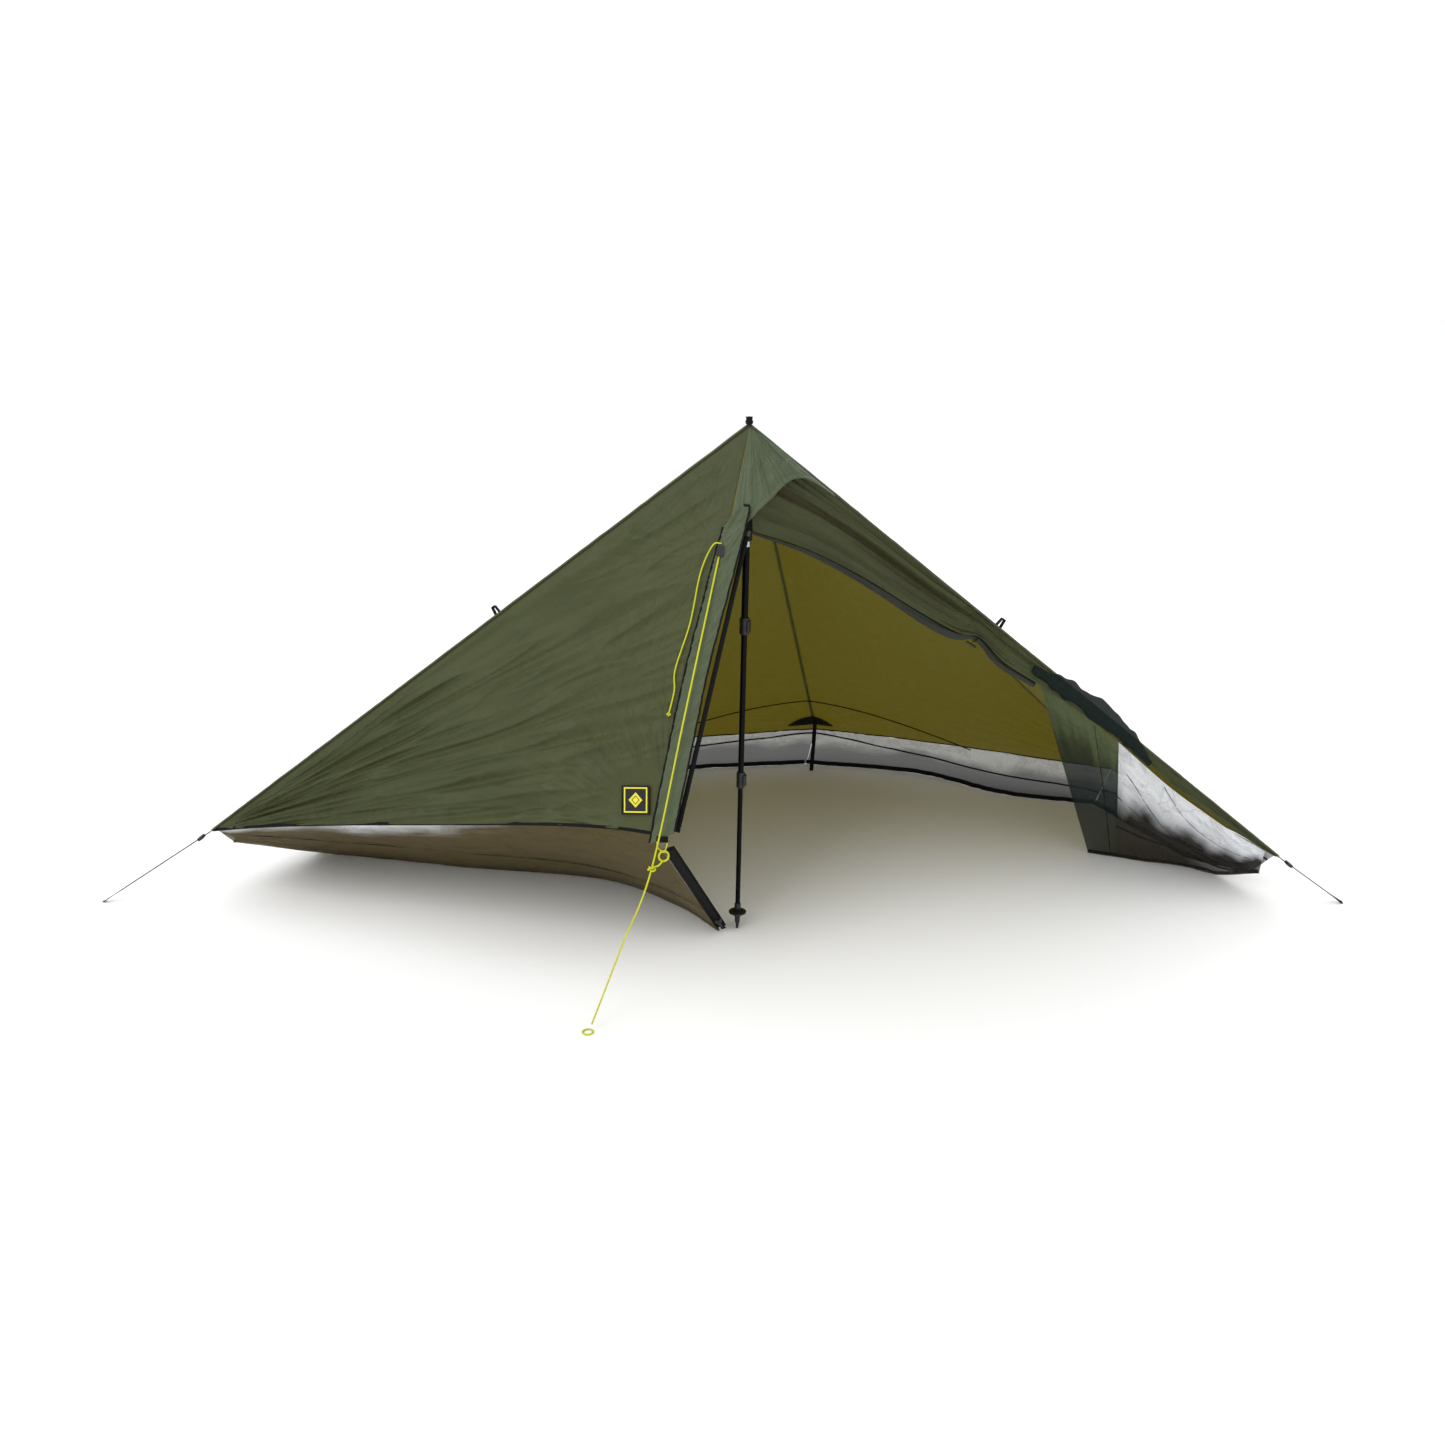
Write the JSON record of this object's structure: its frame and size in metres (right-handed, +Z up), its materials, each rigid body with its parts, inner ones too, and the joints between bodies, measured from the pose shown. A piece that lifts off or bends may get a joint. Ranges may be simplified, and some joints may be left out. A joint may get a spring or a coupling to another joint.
{
  "type": "pyramid tarp tent",
  "caption": "Olive single-pole pyramid tarp tent with perimeter mosquito net, rolled-back door, vent hood and a telescopic trekking pole.",
  "frame": {"origin": "middle of the footprint at ground level, leaving out the free front guyline", "axes": "+Z up, +X along the long ridge line, to the right as seen from in front of the doorway, which faces -Y"},
  "size_m": [3.2852, 1.734, 1.269],
  "materials": {
    "shell": "silicone-coated ripstop nylon, olive green, slightly shiny",
    "hood": "two layers of the same coated nylon, a little greener where light comes through",
    "net": "fine black-green mosquito mesh",
    "webbing": "black polyamide webbing and zip tape",
    "cord": "fluorescent yellow braided cord",
    "plastic": "moulded black acetal",
    "shaft": "black anodised aluminium tube",
    "steel": "bare metal ring and ferrule",
    "foam": "matt EVA foam grip",
    "badge": "small black woven patch with a plain border"
  },
  "bodies": {
    "canopy": {"front_left_panel": "shell", "left_end_panel": "shell", "rear_left_panel": "shell", "rear_right_panel": "shell", "right_end_panel": "shell", "right_front_panel": "shell", "vent_hood": "hood", "zip_placket": "hood", "door_zip": "webbing", "door_roll": "shell", "roll_loop": "webbing", "net_front_left": "net", "net_left_end": "net", "net_rear_left": "net", "net_rear_right": "net", "net_right_end": "net", "net_front_right": "net", "net_door": "net", "net_zip": "webbing", "left_end_strap": "webbing", "right_end_strap": "webbing", "rear_left_strap": "webbing", "rear_right_strap": "webbing", "rear_hub_patch": "webbing", "rear_centre_strap": "webbing", "rear_arch_line": "webbing", "left_tieout_loop": "webbing", "right_tieout_loop": "webbing", "peak_tab": "webbing", "line_tensioner": "plastic", "front_guyline": "cord", "guyline_tail": "cord", "guyline_knot": "cord", "corner_ring": "cord", "corner_loop": "cord", "corner_tab": "webbing", "guyline_stake_loop": "cord", "badge": "badge", "upper_shaft": "shaft", "upper_lock": "plastic", "grip_ferrule": "steel", "pole_grip": "foam"},
    "pole_middle": {"middle_shaft": "shaft", "lower_lock": "plastic"},
    "pole_lower": {"lower_shaft": "shaft", "pole_tip": "plastic", "pole_basket": "plastic"},
    "upper_lock_lever": {"upper_lever": "plastic"},
    "lower_lock_lever": {"lower_lever": "plastic"},
    "door_slider": {"door_zip_slider": "plastic"},
    "door_pull": {"door_zip_pull": "plastic"},
    "net_slider": {"net_zip_slider": "plastic"},
    "net_pull": {"net_zip_pull": "plastic"},
    "left_end_buckle": {"left_end_adjuster": "plastic"},
    "right_end_buckle": {"right_end_adjuster": "plastic"},
    "rear_left_buckle": {"rear_left_adjuster": "plastic"},
    "rear_right_buckle": {"rear_right_adjuster": "plastic"},
    "toggle": {"roll_toggle": "plastic"}
  },
  "joints": [
    {"name": "middle_slide", "type": "slide", "parent": "canopy", "child": "pole_middle", "axis": [0.0184, 0, 0.9998], "range_m": [0, 0.25]},
    {"name": "lower_slide", "type": "slide", "parent": "pole_middle", "child": "pole_lower", "axis": [0.0184, 0, 0.9998], "range_m": [0, 0.25]},
    {"name": "upper_lever_hinge", "type": "hinge", "parent": "canopy", "child": "upper_lock_lever", "pos_m": [0.05843, -0.46082, 0.77482], "axis": [0.0184, 0, 0.9998], "range_deg": [0, 110]},
    {"name": "lower_lever_hinge", "type": "hinge", "parent": "pole_middle", "child": "lower_lock_lever", "pos_m": [0.05087, -0.46171, 0.38889], "axis": [0.0184, 0, 0.9998], "range_deg": [0, 110]},
    {"name": "door_zip_slide", "type": "slide", "parent": "canopy", "child": "door_slider", "axis": [-0.2284, -0.2491, -0.9412], "range_m": [0, 0.66]},
    {"name": "door_pull_hinge", "type": "hinge", "parent": "door_slider", "child": "door_pull", "pos_m": [0.05881, -0.54213, 1.01735], "axis": [0.9121, -0.3929, -0.1173], "range_deg": [0, 95]},
    {"name": "net_zip_slide", "type": "slide", "parent": "canopy", "child": "net_slider", "axis": [-0.3052, -0.5417, 0.7832], "range_m": [-0.025, 0.31]},
    {"name": "net_pull_hinge", "type": "hinge", "parent": "net_slider", "child": "net_pull", "pos_m": [-0.00898, -0.53196, 0.04625], "axis": [-0.944, 0.0635, -0.3239], "range_deg": [0, 95]},
    {"name": "left_end_adjust", "type": "slide", "parent": "canopy", "child": "left_end_buckle", "axis": [-0.8392, -0.0272, -0.5432], "range_m": [0, 0.095]},
    {"name": "right_end_adjust", "type": "slide", "parent": "canopy", "child": "right_end_buckle", "axis": [0.8149, -0.0267, -0.5789], "range_m": [0, 0.095]},
    {"name": "rear_left_adjust", "type": "slide", "parent": "canopy", "child": "rear_left_buckle", "axis": [-0.6724, 0.6093, -0.4202], "range_m": [0, 0.095]},
    {"name": "rear_right_adjust", "type": "slide", "parent": "canopy", "child": "rear_right_buckle", "axis": [0.6724, 0.6093, -0.4202], "range_m": [0, 0.095]},
    {"name": "toggle_turn", "type": "hinge", "parent": "canopy", "child": "toggle", "pos_m": [0.60126, -0.41082, 0.72632], "axis": [-0.5333, -0.0475, -0.8446], "range_deg": [-60, 60]}
  ]
}
